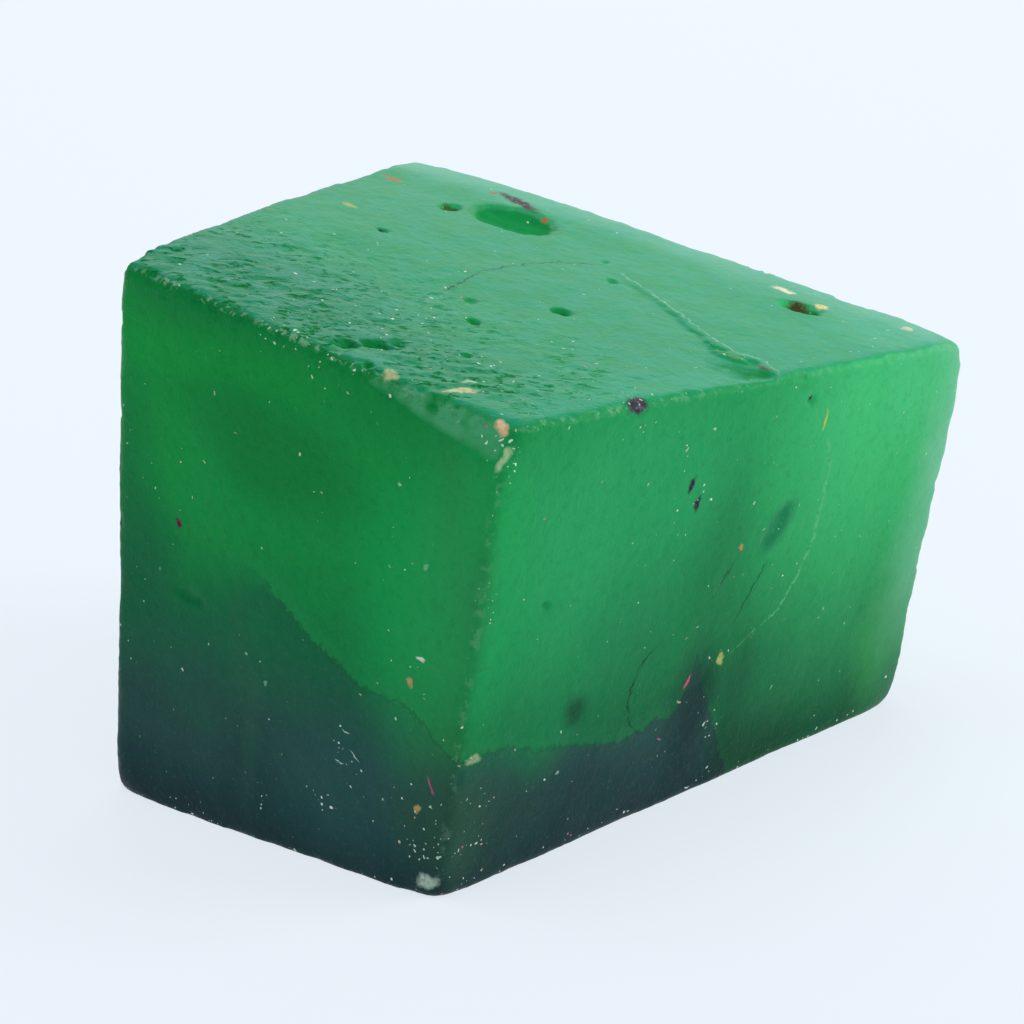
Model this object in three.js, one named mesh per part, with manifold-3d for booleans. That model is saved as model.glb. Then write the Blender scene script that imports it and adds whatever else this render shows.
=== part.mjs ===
// A raw block of emerald: one rough-cut, frosted stone, resting on its flat base.
//
// The block is a six-sided solid whose faces are all a few degrees off square. It is laid out as six
// planes, its edges and corners are worn round, and its faces are slightly uneven. Wear is then cut
// out of it: flakes off three faces, a chamfer on one edge, shallow conchoidal hollows, pits and chips.
//
// Millimetres, +Z up. The origin is the middle of the base, and the long front face looks along -Y.
import * as THREE from "three";
import { ImprovedNoise } from "three/addons/math/ImprovedNoise.js";
import { mergeVertices } from "three/addons/utils/BufferGeometryUtils.js";
import Module from "manifold-3d";

const wasm = await Module();
wasm.setup();

// ---- Driving dimensions ----

// Each side looks along a compass heading (degrees from +X, turning towards +Y), leans back from
// upright by some degrees, or overhangs if that is negative, and stands this far from the middle.
const sides = {
  end: { heading: -173.8, lean: 2.8, out: 24.1 },
  front: { heading: -90, lean: -7.6, out: 17.63 },
  back: { heading: 107.7, lean: 1.5, out: 17.65 },
  far: { heading: 15.4, lean: -3.3, out: 17.9 },
};
const topHeight = 33.1; // over the middle of the base
const topDip = 10.1; // degrees the top falls
const topDipHeading = -53; // and the way it falls

// The stone's underside is ground away to a flat: this much of its rounded bottom is missing.
const baseGrind = 0.4;

// Rounding of the worn edges, and of the corners, which have worn further.
const edgeRadius = 0.7;
const cornerRadius = {
  "end front top": 1.0,
  "end back top": 1.2,
  "far front top": 1.1,
  "far back top": 1.6,
  "end front base": 1.1,
  "end back base": 1.5,
  "far front base": 1.4,
  "far back base": 1.8,
};

// Unevenness of the faces: a slow swell and a shorter lumpiness, each a height and a wavelength.
const swell = { height: 0.34, length: 15 };
const lumps = { height: 0.13, length: 4.2 };
const topArch = 0.3; // how far the top's far edge arches up, most of all towards the back

// Grid of the body: steps across the flat of each face, and steps in each rounded margin.
const gridSteps = { x: 18, y: 16, z: 13 };
const marginSteps = 2;

// Flakes lost from the faces. The broken edge of each is a low jagged scarp, given as points on the
// face, with the scar on the right as the points run. The scar starts at nothing, is this deep at the
// scarp's last point, and feathers out at this reach from there.
const flakes = [
  {
    on: "top",
    scarp: [
      [9.9, -2.6],
      [8.9, -6.2],
      [7.5, -10.1],
      [5.6, -15.1],
      [6.2, -19.4],
      [5.4, -21.6],
      [5.2, -26],
    ],
    depth: 0.75,
    reach: 13,
  },
  {
    on: "back",
    scarp: [
      [9.4, 20.6],
      [5.8, 18.7],
      [-2.9, 17.8],
      [-6.1, 15.2],
      [-13.5, 14.6],
      [-23, 10.9],
    ],
    depth: 1.1,
    reach: 12,
  },
  {
    on: "far",
    scarp: [
      [-1.6, 8.4],
      [-4.3, 13.9],
      [-9.1, 18.0],
      [-9.7, 25.5],
      [-12.8, 37],
    ],
    depth: 0.9,
    reach: 11,
  },
];

// A long chamfer worn on the top edge of the end face. It starts at nothing and widens to the corner.
const chamfer = { drop: 2.7, inset: 1.5, startsAt: -7.5 };

// Hollows: where each lies on its face, its two half-widths, its depth and its turn in degrees.
const hollows = [
  { on: "front", at: [-1.0, 9.0], half: [4.6, 4.0], depth: 0.28, turn: 20 },
  { on: "front", at: [-15.1, 19.0], half: [0.45, 0.45], depth: 0.3, turn: 0 },
  { on: "front", at: [8.9, 27.1], half: [0.45, 0.5], depth: 0.3, turn: 0 },
  { on: "front", at: [6.8, 18.3], half: [0.8, 2.0], depth: 0.18, turn: -40 },
  { on: "end", at: [-6.0, 15.4], half: [1.5, 0.5], depth: 0.25, turn: -10 },
  { on: "top", at: [11.2, 7.2], half: [2.6, 3.5], depth: 0.5, turn: 20 },
  { on: "top", at: [15.4, 11.6], half: [1.5, 0.7], depth: 0.3, turn: -60 },
  { on: "top", at: [-18.4, -8.2], half: [3.4, 1.1], depth: 0.45, turn: -38 },
  { on: "top", at: [-21.3, -9.9], half: [1.6, 0.7], depth: 0.3, turn: -50 },
  { on: "top", at: [-0.5, -7.7], half: [0.75, 1.0], depth: 0.5, turn: 20 },
  { on: "top", at: [-5.3, -3.8], half: [0.6, 0.9], depth: 0.35, turn: -20 },
  { on: "top", at: [-8.2, -6.9], half: [0.7, 0.9], depth: 0.4, turn: 0 },
  { on: "top", at: [18.3, -13.0], half: [1.1, 1.8], depth: 0.55, turn: 30 },
  { on: "top", at: [8.0, 11.4], half: [1.3, 0.8], depth: 0.35, turn: 10 },
  { on: "top", at: [8.1, -4.4], half: [0.6, 0.8], depth: 0.3, turn: 0 },
  { on: "top", at: [4.9, -16.6], half: [1.1, 1.9], depth: 0.4, turn: 35 },
  { on: "top", at: [4.2, -20.0], half: [1.1, 1.6], depth: 0.4, turn: 20 },
  { on: "top", at: [-13.2, -11.4], half: [1.0, 0.6], depth: 0.3, turn: -35 },
  { on: "top", at: [-1.3, 8.8], half: [0.5, 0.8], depth: 0.3, turn: 0 },
  { on: "top", at: [10.8, -1.1], half: [0.5, 0.5], depth: 0.25, turn: 0 },
  { on: "top", at: [-15.8, 1.5], half: [1.1, 0.6], depth: 0.3, turn: -40 },
  { on: "back", at: [13.4, 30.8], half: [3.4, 2.4], depth: 0.6, turn: 15 },
  { on: "back", at: [-3.5, 6.8], half: [1.6, 1.0], depth: 0.4, turn: 30 },
  { on: "back", at: [9.8, 9.4], half: [0.8, 0.6], depth: 0.35, turn: 0 },
  { on: "far", at: [13.8, 25.6], half: [2.2, 3.0], depth: 0.6, turn: 20 },
  { on: "far", at: [5.4, 16.0], half: [1.1, 0.7], depth: 0.35, turn: -20 },
  { on: "far", at: [-17.2, 11.5], half: [0.7, 0.6], depth: 0.35, turn: 0 },
];
const unroundness = 0.2; // share by which a hollow's outline strays from an oval
const wideHollow = 2; // a hollow with a half-width over this gets a finer mesh
const jaggedness = 0.11; // how far a scarp strays to each side, as a share of each length of it

// Chips along the edges: how many, and their half-length and half-width. The two named faces meet
// in the edge, which runs from one neighbouring face to the other.
const chippedEdges = [
  { edge: ["top", "end"], from: "front", to: "back", chips: 14, half: [1.2, 0.5] },
  { edge: ["top", "front"], from: "end", to: "far", chips: 7, half: [1.2, 0.35] },
  { edge: ["top", "back"], from: "end", to: "far", chips: 6, half: [1.3, 0.4] },
  { edge: ["top", "far"], from: "front", to: "back", chips: 6, half: [1.4, 0.4] },
  { edge: ["end", "front"], from: "base", to: "top", chips: 5, half: [1.2, 0.3] },
  { edge: ["front", "far"], from: "base", to: "top", chips: 6, half: [1.5, 0.45] },
  { edge: ["end", "back"], from: "base", to: "top", chips: 6, half: [1.1, 0.35] },
  { edge: ["far", "back"], from: "base", to: "top", chips: 6, half: [1.5, 0.45] },
];
const chipSizes = { least: 0.6, most: 1.4 }; // against the half-length and half-width
const chipFlatness = 1.5; // a chip is wider across the edge than it is deep by this factor
const chipSeed = 11;

// ---- The six planes ----

const up = new THREE.Vector3(0, 0, 1);
const clear = 10; // well outside the stone's surface

function outward(headingDegrees, riseDegrees) {
  const heading = THREE.MathUtils.degToRad(headingDegrees);
  const rise = THREE.MathUtils.degToRad(riseDegrees);
  const level = Math.cos(rise);
  return new THREE.Vector3(level * Math.cos(heading), level * Math.sin(heading), Math.sin(rise));
}

const planes = { base: { normal: new THREE.Vector3(0, 0, -1), out: baseGrind } };
for (const [name, side] of Object.entries(sides))
  planes[name] = { normal: outward(side.heading, side.lean), out: side.out };
const topNormal = outward(topDipHeading, 90 - topDip);
planes.top = { normal: topNormal, out: topHeight * topNormal.z };

// The point where three faces meet, with every face moved inwards by the same amount.
function corner(names, inwards = 0) {
  const [a, b, c] = names.map((name) => planes[name]);
  const bc = new THREE.Vector3().crossVectors(b.normal, c.normal);
  const ca = new THREE.Vector3().crossVectors(c.normal, a.normal);
  const ab = new THREE.Vector3().crossVectors(a.normal, b.normal);
  return new THREE.Vector3()
    .addScaledVector(bc, a.out - inwards)
    .addScaledVector(ca, b.out - inwards)
    .addScaledVector(ab, c.out - inwards)
    .divideScalar(a.normal.dot(bc));
}

// ---- The worn body ----

const axes = ["x", "y", "z"];
const facing = { x: ["end", "far"], y: ["front", "back"], z: ["base", "top"] };
const noise = new ImprovedNoise();

function unevenness(point, { height, length }) {
  const { x, y, z } = point.clone().divideScalar(length);
  return height * noise.noise(x + 7.3, y + 2.9, z + 5.1);
}

// Splits a grid coordinate from -1 to 1 into its place on the flat of the face and its share of the
// rounded margin beyond it.
function flatAndMargin(coordinate, axis) {
  const flatShare = gridSteps[axis] / (gridSteps[axis] + 2 * marginSteps);
  const reach = Math.abs(coordinate);
  if (reach <= flatShare) return { flat: coordinate / flatShare, margin: 0 };
  return { flat: Math.sign(coordinate), margin: (reach - flatShare) / (1 - flatShare) };
}

// A point inside the block with its faces moved inwards, from its place between each pair of faces.
function insidePoint(place, inwards) {
  const point = new THREE.Vector3();
  for (const endOrFar of [0, 1])
    for (const frontOrBack of [0, 1])
      for (const baseOrTop of [0, 1]) {
        const which = [endOrFar, frontOrBack, baseOrTop];
        const names = axes.map((axis, i) => facing[axis][which[i]]);
        const weight = axes.reduce(
          (product, axis, i) => product * (which[i] ? 1 + place[axis] : 1 - place[axis]) * 0.5,
          1,
        );
        point.addScaledVector(corner(names, inwards), weight);
      }
  return point;
}

function wearAt(place) {
  const nearestCorner = axes.map((axis) => facing[axis][place[axis] > 0 ? 1 : 0]).join(" ");
  const closeness = Math.abs(place.x * place.y * place.z) ** 5;
  return THREE.MathUtils.lerp(edgeRadius, cornerRadius[nearestCorner], closeness);
}

function wornBody() {
  const steps = axes.map((axis) => gridSteps[axis] + 2 * marginSteps);
  const grid = new THREE.BoxGeometry(2, 2, 2, ...steps);
  grid.deleteAttribute("normal");
  grid.deleteAttribute("uv");
  const body = mergeVertices(grid);
  const position = body.getAttribute("position");
  const vertex = new THREE.Vector3();
  for (let i = 0; i < position.count; i++) {
    vertex.fromBufferAttribute(position, i);
    const place = new THREE.Vector3();
    const direction = new THREE.Vector3();
    for (const axis of axes) {
      const { flat, margin } = flatAndMargin(vertex[axis], axis);
      place[axis] = flat;
      const face = facing[axis][vertex[axis] > 0 ? 1 : 0];
      direction.addScaledVector(planes[face].normal, Math.tan((margin * Math.PI) / 4));
    }
    direction.normalize();
    const radius = wearAt(place);
    const point = insidePoint(place, radius).addScaledVector(direction, radius);
    const rise = topArch * (1 - place.y ** 2) * (1 + place.y) * ((1 + place.x) / 2);
    const arch = rise * Math.max(0, direction.z);
    const relief = arch + unevenness(point, swell) + unevenness(point, lumps);
    point.addScaledVector(direction, relief);
    position.setXYZ(i, point.x, point.y, point.z);
  }
  return body;
}

// ---- Cutting ----

// A solid from a closed geometry: its shared vertices are merged and its flat slivers left out.
function solidFrom(geometry) {
  const bare = geometry.index ? geometry.toNonIndexed() : geometry.clone();
  bare.deleteAttribute("normal");
  bare.deleteAttribute("uv");
  const weldDistance = 1e-4;
  const merged = mergeVertices(bare, weldDistance);
  const index = merged.index.array;
  const kept = [];
  for (let i = 0; i < index.length; i += 3) {
    const [a, b, c] = [index[i], index[i + 1], index[i + 2]];
    if (a !== b && b !== c && c !== a) kept.push(a, b, c);
  }
  const vertProperties = new Float32Array(merged.getAttribute("position").array);
  const mesh = new wasm.Mesh({ numProp: 3, vertProperties, triVerts: new Uint32Array(kept) });
  return new wasm.Manifold(mesh);
}

// A frame that lies on a face: x runs level along it, y up it, and z out of it. On a side, the
// origin is at the base; on the top, it is over the middle of the base and x runs with +X.
function faceFrame(name) {
  const { normal, out } = planes[name];
  const isTop = name === "top";
  const along = isTop
    ? new THREE.Vector3(1, 0, 0).projectOnPlane(normal).normalize()
    : new THREE.Vector3().crossVectors(up, normal).normalize();
  const upwards = new THREE.Vector3().crossVectors(normal, along);
  const origin = isTop
    ? new THREE.Vector3(0, 0, topHeight)
    : new THREE.Vector3(normal.x, normal.y, 0).multiplyScalar(out / (1 - normal.z ** 2));
  return new THREE.Matrix4().makeBasis(along, upwards, normal).setPosition(origin);
}

// How far the stone's surface stands out of a face's plane at a spot on the face.
function surfaceRise(stone, frame, [along, upwards]) {
  const above = new THREE.Vector3(along, upwards, clear).applyMatrix4(frame);
  const inwards = new THREE.Vector3(0, 0, -1).transformDirection(frame);
  const [hit] = new THREE.Raycaster(above, inwards).intersectObject(stone);
  return hit ? clear - hit.distance : 0;
}

// A shallow bowl pressed into the stone's surface: an arc turned about its depth, closed above, with
// an outline that isn't quite an oval.
function hollowCutter(stone, { on, at, half, depth, turn }) {
  const isWide = Math.max(...half) > wideHollow;
  const rings = isWide ? 3 : 2;
  const spokes = isWide ? 14 : 8;
  const overshoot = 1.25; // the arc runs past the rim by this share, and the surface trims it
  const profile = [];
  for (let i = 0; i <= rings; i++) {
    const reach = (overshoot * i) / rings;
    profile.push(new THREE.Vector2(reach, reach ** 2 - 1));
  }
  profile.push(new THREE.Vector2(0, clear));
  const bowl = new THREE.LatheGeometry(profile, spokes).rotateX(Math.PI / 2);
  const position = bowl.getAttribute("position");
  const phase = at[0] + at[1];
  for (let i = 0; i < position.count; i++) {
    const [x, y] = [position.getX(i), position.getY(i)];
    const angle = Math.atan2(y, x);
    const stray = 1 + unroundness * (Math.sin(2 * angle + phase) + 0.6 * Math.sin(3 * angle - phase));
    position.setXY(i, x * stray, y * stray);
  }
  bowl.scale(half[0], half[1], depth).rotateZ(THREE.MathUtils.degToRad(turn));
  const frame = faceFrame(on);
  bowl.translate(at[0], at[1], surfaceRise(stone, frame, at));
  return bowl.applyMatrix4(frame);
}

// Breaks each length of a line in two, with the break a little to one side of it.
function jagged(line) {
  const broken = [line[0]];
  for (let i = 1; i < line.length; i++) {
    const step = line[i].clone().sub(line[i - 1]);
    const aside = jaggedness * (2 * THREE.MathUtils.seededRandom() - 1);
    const share = 0.35 + 0.3 * THREE.MathUtils.seededRandom();
    const point = line[i - 1].clone().addScaledVector(step, share);
    broken.push(point.add(new THREE.Vector2(-step.y, step.x).multiplyScalar(aside)), line[i]);
  }
  return broken;
}

// A flake's scar: a wedge over the part of the face that its scarp bounds. Its floor is a plane
// through the surface at the scarp's start and where the scar feathers out, and under it at the end.
function flakeCutter(stone, { on, scarp, depth, reach }) {
  const frame = faceFrame(on);
  const edge = scarp.map(([x, y]) => new THREE.Vector2(x, y));
  const [start, end] = [edge[0], edge[edge.length - 1]];
  const along = end.clone().sub(start).normalize();
  const feather = end.clone().addScaledVector(new THREE.Vector2(along.y, -along.x), reach);
  const onFloor = [start, feather, end].map((spot, i) => {
    const inner = spot.clone().lerp(start, 0.15); // clear of the rounded edge of the face
    const rise = surfaceRise(stone, frame, [inner.x, inner.y]);
    return new THREE.Vector3(spot.x, spot.y, i === 2 ? rise - depth : rise);
  });
  const floor = new THREE.Plane().setFromCoplanarPoints(...onFloor);
  const outline = new THREE.Shape([...jagged(jagged(edge)), feather]);
  const wedge = new THREE.ExtrudeGeometry(outline, { depth: 1, bevelEnabled: false });
  const position = wedge.getAttribute("position");
  for (let i = 0; i < position.count; i++) {
    const isRoof = position.getZ(i) > 0.5;
    const { x, y } = new THREE.Vector3().fromBufferAttribute(position, i);
    const floorHeight = -(floor.normal.x * x + floor.normal.y * y + floor.constant) / floor.normal.z;
    position.setZ(i, isRoof ? clear : floorHeight);
  }
  return wedge.applyMatrix4(frame);
}

// A big block that takes away all that lies past a plane, on the side that its normal points to.
function beyondPlane(point, normal) {
  const size = 120;
  const turn = new THREE.Quaternion().setFromUnitVectors(up, normal);
  const block = new THREE.BoxGeometry(size, size, size).translate(0, 0, size / 2);
  return block.applyQuaternion(turn).translate(point.x, point.y, point.z);
}

// The chamfer's plane runs through the edge at its start, the end face some way under the corner,
// and the top some way in from the corner.
function chamferCutter() {
  const top = faceFrame("top");
  const end = faceFrame("end");
  const nearCorner = corner(["end", "front", "top"]);
  const farCorner = corner(["end", "back", "top"]);
  const onEndFace = nearCorner.clone().applyMatrix4(end.clone().invert());
  onEndFace.y -= chamfer.drop;
  const onTop = nearCorner.clone().applyMatrix4(top.clone().invert());
  onTop.x += chamfer.inset;
  const share = (chamfer.startsAt - nearCorner.y) / (farCorner.y - nearCorner.y);
  const onEdge = nearCorner.clone().lerp(farCorner, share);
  const plane = new THREE.Plane().setFromCoplanarPoints(
    onEdge,
    onEndFace.applyMatrix4(end),
    onTop.applyMatrix4(top),
  );
  if (plane.distanceToPoint(nearCorner) < 0) plane.negate();
  return beyondPlane(onEdge, plane.normal);
}

// Chips lie on an edge at uneven spacings, long way along it, and no two are quite alike.
function chipCutters(stone, { edge, from, to, chips, half }) {
  const random = THREE.MathUtils.seededRandom;
  const start = corner([...edge, from]);
  const finish = corner([...edge, to]);
  const along = finish.clone().sub(start).normalize();
  const outwards = planes[edge[0]].normal.clone().add(planes[edge[1]].normal).normalize();
  const across = new THREE.Vector3().crossVectors(outwards, along);
  const frame = new THREE.Matrix4().makeBasis(along, across, outwards).setPosition(start);
  const length = start.distanceTo(finish);
  const cutters = [];
  for (let i = 0; i < chips; i++) {
    const at = [(length * (i + 0.15 + 0.7 * random())) / chips, (random() - 0.5) * edgeRadius];
    const size = THREE.MathUtils.lerp(chipSizes.least, chipSizes.most, random());
    const chip = new THREE.IcosahedronGeometry().rotateX(2 * Math.PI * random());
    chip.scale(half[0] * size, half[1] * size * chipFlatness, half[1] * size);
    chip.translate(at[0], at[1], surfaceRise(stone, frame, at));
    cutters.push(chip.applyMatrix4(frame));
  }
  return cutters;
}

// ---- The stone ----

function geometryOf(solid) {
  const { vertProperties, numProp, triVerts } = solid.getMesh();
  const geometry = new THREE.BufferGeometry();
  geometry.setAttribute("position", new THREE.BufferAttribute(vertProperties, numProp));
  geometry.setIndex(new THREE.BufferAttribute(triVerts, 1));
  geometry.computeVertexNormals();
  return geometry;
}

function cutAway(solid, cutters) {
  return cutters.reduce((stone, cutter) => stone.subtract(solidFrom(cutter)), solid);
}

THREE.MathUtils.seededRandom(chipSeed);
const worn = solidFrom(wornBody());
const wornMesh = new THREE.Mesh(geometryOf(worn));
const scars = flakes.map((flake) => flakeCutter(wornMesh, flake));
const groundBase = beyondPlane(new THREE.Vector3(), planes.base.normal);
const flaked = cutAway(worn, [groundBase, chamferCutter(), ...scars]);
const flakedMesh = new THREE.Mesh(geometryOf(flaked));
const bowls = hollows.map((hollow) => hollowCutter(flakedMesh, hollow));
const hollowed = cutAway(flaked, bowls);
const hollowedMesh = new THREE.Mesh(geometryOf(hollowed));
const chips = chippedEdges.flatMap((edge) => chipCutters(hollowedMesh, edge));
const geometry = geometryOf(cutAway(hollowed, chips));
geometry.computeBoundingBox();
const middle = geometry.boundingBox.getCenter(new THREE.Vector3());
geometry.translate(-middle.x, -middle.y, 0);

const frostedEmerald = new THREE.MeshStandardMaterial({ color: 0x1f8a4c, roughness: 0.45, metalness: 0 });
const rawEmerald = new THREE.Mesh(geometry, frostedEmerald);
rawEmerald.name = "raw_emerald";

const group = new THREE.Group();
group.add(rawEmerald);

export default group;
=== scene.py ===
import math
import random

import bpy
import numpy as np
from mathutils import Matrix, Vector, noise
from mathutils.bvhtree import BVHTree


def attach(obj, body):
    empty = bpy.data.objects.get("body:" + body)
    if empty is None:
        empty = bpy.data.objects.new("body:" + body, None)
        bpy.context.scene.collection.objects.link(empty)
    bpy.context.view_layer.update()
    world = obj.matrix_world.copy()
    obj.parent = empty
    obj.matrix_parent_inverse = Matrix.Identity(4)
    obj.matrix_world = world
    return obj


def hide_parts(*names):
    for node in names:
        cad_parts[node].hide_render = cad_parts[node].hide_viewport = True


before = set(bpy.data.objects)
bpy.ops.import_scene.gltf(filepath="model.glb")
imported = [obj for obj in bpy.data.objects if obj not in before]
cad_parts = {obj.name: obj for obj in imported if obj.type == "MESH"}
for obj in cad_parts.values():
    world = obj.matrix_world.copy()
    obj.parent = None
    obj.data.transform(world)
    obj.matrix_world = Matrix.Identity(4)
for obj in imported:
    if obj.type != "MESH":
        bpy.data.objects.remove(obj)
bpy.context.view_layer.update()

mm = 0.001
random.seed(7)


def select(*objects):
    bpy.ops.object.select_all(action="DESELECT")
    for item in objects:
        item.select_set(True)
    bpy.context.view_layer.objects.active = objects[-1]


def applyModifier(item, kind, **settings):
    select(item)
    modifier = item.modifiers.new(kind.title(), kind)
    for name, value in settings.items():
        setattr(modifier, name, value)
    bpy.ops.object.modifier_apply(modifier=modifier.name)


def cloudsOf(name, wavelength, depth=2):  # wavelength in mm
    clouds = bpy.data.textures.new(name, "CLOUDS")
    clouds.noise_scale = wavelength * mm
    clouds.noise_depth = depth
    return clouds


print("camera")
camera = {
    "place": (-165.03, -164.52, 100.59),  # mm, a quarter of a metre off
    "heading": 45.53,  # degrees from +Y towards +X
    "pitch": 20.0,  # degrees down
    "lens": 126.56,
    "sensor": 36,
    "nearest": 10,  # mm, where its view begins
}
heading, pitch = math.radians(camera["heading"]), math.radians(camera["pitch"])
bpy.ops.object.camera_add(
    location=Vector(camera["place"]) * mm,
    rotation=(math.pi / 2 - pitch, 0, -heading),
)
bpy.context.object.data.lens = camera["lens"]
bpy.context.object.data.sensor_width = camera["sensor"]
bpy.context.object.data.clip_start = camera["nearest"] * mm
bpy.context.scene.camera = bpy.context.object

# Each side looks along a compass heading (degrees from +X towards +Y), leans back by some degrees
# or overhangs if negative, and stands so many mm from the middle.
block = {
    "sides": {
        "end": (-173.8, 2.8, 24.1),
        "front": (-90, -7.6, 17.63),
        "back": (107.7, 1.5, 17.65),
        "far": (15.4, -3.3, 17.9),
    },
    "topHeight": 33.0,
    "topDip": 10.1,  # degrees the top falls
    "topDipHeading": -53,
    "baseGrind": 0.4,  # rounded underside lost to the flat base
    "middle": (-0.163, -0.154),  # of the distances above, from the middle of the finished stone
    "blank": 120,  # cube that the faces are cut from
    "chamferDrop": 2.7,  # long chamfer by the front corner
    "chamferInset": 1.5,
    "chamferStartsAt": -7.5,
    "bevel": 0.55,
    "roughVoxel": 0.4,
}
middle = Vector((*block["middle"], 0))


def outward(heading, rise):
    heading, rise = math.radians(heading), math.radians(rise)
    level = math.cos(rise)
    return Vector((level * math.cos(heading), level * math.sin(heading), math.sin(rise)))


topNormal = outward(block["topDipHeading"], 90 - block["topDip"])
planes = {"top": (topNormal, block["topHeight"] * topNormal.z)}
planes["base"] = (Vector((0, 0, -1)), block["baseGrind"])
for name, (heading, lean, out) in block["sides"].items():
    planes[name] = (outward(heading, lean), out)


def corner(*names):  # mm, where three faces meet
    normals = [planes[name][0] for name in names]
    outs = [planes[name][1] for name in names]
    return Vector(np.linalg.solve(np.array(normals), np.array(outs))) + middle


def faceFrame(name):  # x level along a face, y up it, z out of it, in mm
    normal, out = planes[name]
    if name == "top":
        along = Vector((1, 0, 0))
        along = (along - along.dot(normal) * normal).normalized()
        origin = Vector((0, 0, block["topHeight"]))
    else:
        along = Vector((0, 0, 1)).cross(normal).normalized()
        origin = Vector((normal.x, normal.y, 0)) * out / (1 - normal.z**2)
    turn = Matrix((along, normal.cross(along), normal)).transposed().to_4x4()
    return Matrix.Translation(origin + middle) @ turn


def edgeFrame(first, second, begin, finish):  # x along the edge of two faces, z out of it, in mm
    start, stop = corner(first, second, begin), corner(first, second, finish)
    along = (stop - start).normalized()
    outwards = (planes[first][0] + planes[second][0]).normalized()
    turn = Matrix((along, outwards.cross(along), outwards)).transposed().to_4x4()
    return Matrix.Translation(start) @ turn, (stop - start).length


def seatOn(placed, x, y, z=0, turn=0):  # a spot on a face or edge, turned by some degrees
    return placed @ (Matrix.Translation((x, y, z)) @ Matrix.Rotation(math.radians(turn), 4, "Z"))


def pointsOf(item):  # mm, one row for each vertex
    flat = np.empty(len(item.data.vertices) * 3)
    item.data.vertices.foreach_get("co", flat)
    return flat.reshape(-1, 3) / mm


def noiseAt(points, wavelength, offset=(0, 0, 0)):
    return np.array([noise.noise(Vector(p) / wavelength + Vector(offset)) for p in points])


def depthsUnder(points, names):  # mm inside each named face
    spots = points - np.array(middle)
    return np.array([planes[name][1] - spots @ np.array(planes[name][0]) for name in names])


def paintGroup(item, name, weights, shades=32):
    group = item.vertex_groups.new(name=name)
    steps = np.round(np.clip(weights, 0, 1) * shades).astype(int)
    for step in range(1, shades + 1):
        group.add(np.nonzero(steps == step)[0].tolist(), step / shades, "REPLACE")


def paintValue(item, name, values):
    item.data.attributes.new(name, "FLOAT", "POINT").data.foreach_set("value", values)


print("block")
bpy.ops.object.select_all(action="DESELECT")
bpy.ops.mesh.primitive_cube_add(size=block["blank"] * mm)
stone = bpy.context.object
stone.name = "emerald_stone"
bpy.ops.object.mode_set(mode="EDIT")
for normal, out in planes.values():
    bpy.ops.mesh.select_all(action="SELECT")
    bpy.ops.mesh.bisect(
        plane_co=(normal * out + middle) * mm, plane_no=normal, use_fill=True, clear_outer=True
    )
nearCorner, farCorner = corner("end", "front", "top"), corner("end", "back", "top")
share = (block["chamferStartsAt"] + middle.y - nearCorner.y) / (farCorner.y - nearCorner.y)
chamferStart = nearCorner.lerp(farCorner, share)
onEnd = faceFrame("end").to_3x3() @ Vector((0, -block["chamferDrop"], 0))
onTop = faceFrame("top").to_3x3() @ Vector((block["chamferInset"], 0, 0))
chamferNormal = (nearCorner + onTop - chamferStart).cross(nearCorner + onEnd - chamferStart)
if chamferNormal.dot(nearCorner - chamferStart) < 0:
    chamferNormal.negate()
chamferNormal.normalize()
bpy.ops.mesh.select_all(action="SELECT")
bpy.ops.mesh.bisect(plane_co=chamferStart * mm, plane_no=chamferNormal, use_fill=True, clear_outer=True)
bpy.ops.mesh.select_all(action="SELECT")
bpy.ops.mesh.bevel(offset=block["bevel"] * mm, segments=3, profile=0.5, clamp_overlap=True)
bpy.ops.object.mode_set(mode="OBJECT")
applyModifier(stone, "REMESH", mode="VOXEL", voxel_size=block["roughVoxel"] * mm)


def depthUnderChamfer(points):
    return (np.array(chamferStart) - points) @ np.array(chamferNormal)


print("wear")
wear = {
    "edgeReach": 1.5,  # mm either side of an edge that wear softens
    "edgePasses": 10,
    "edgePatches": (0.75, 0.9, 3.5),  # usual wear, how far it varies, and over how many mm
    "cornerReach": 3.2,
    "cornerPasses": 38,
    "chamferReach": 1.2,  # within this the long chamfer keeps its edges, but for the least wear
    "leastWear": 0.2,
    "swell": (0.5, 15.0),  # strength and wavelength in mm
    "lumps": (0.16, 4.2),
    "arch": 0.3,  # how far the top bulges, most of all towards its far end
    "archDepth": 3,  # what lies this far under the top, or less, moves with it
}
points = pointsOf(stone)
depths = np.sort(depthsUnder(points, planes), axis=0)
toEdge = np.clip(1 - depths[1] / wear["edgeReach"], 0, 1)
toEdge *= np.clip(depthUnderChamfer(points) / wear["chamferReach"], wear["leastWear"], 1)
toCorner = np.clip(1 - depths[2] / wear["cornerReach"], 0, 1)
usual, varies, wavelength = wear["edgePatches"]
paintGroup(stone, "edges", toEdge * (usual + varies * noiseAt(points, wavelength)))
paintGroup(stone, "corners", toCorner)
applyModifier(stone, "SMOOTH", factor=0.5, iterations=wear["edgePasses"], vertex_group="edges")
applyModifier(stone, "SMOOTH", factor=0.5, iterations=wear["cornerPasses"], vertex_group="corners")
for name in ("swell", "lumps"):
    strength, wavelength = wear[name]
    clouds = cloudsOf(name, wavelength, depth=1)
    applyModifier(stone, "DISPLACE", texture=clouds, texture_coords="LOCAL", strength=strength * mm)
points = pointsOf(stone)
lowEnd, highEnd = points.min(axis=0), points.max(axis=0)
acrossX, acrossY = (2 * (points - lowEnd) / (highEnd - lowEnd) - 1).T[:2]
archShare = (1 - acrossY**2) * (1 + acrossY) * (1 + acrossX) / 2
archPeak = 1.2  # the most that this comes to
archShare *= depthsUnder(points, ["top"])[0] < wear["archDepth"]
paintGroup(stone, "arch", archShare / archPeak)
rising = archPeak * wear["arch"] * mm
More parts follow.
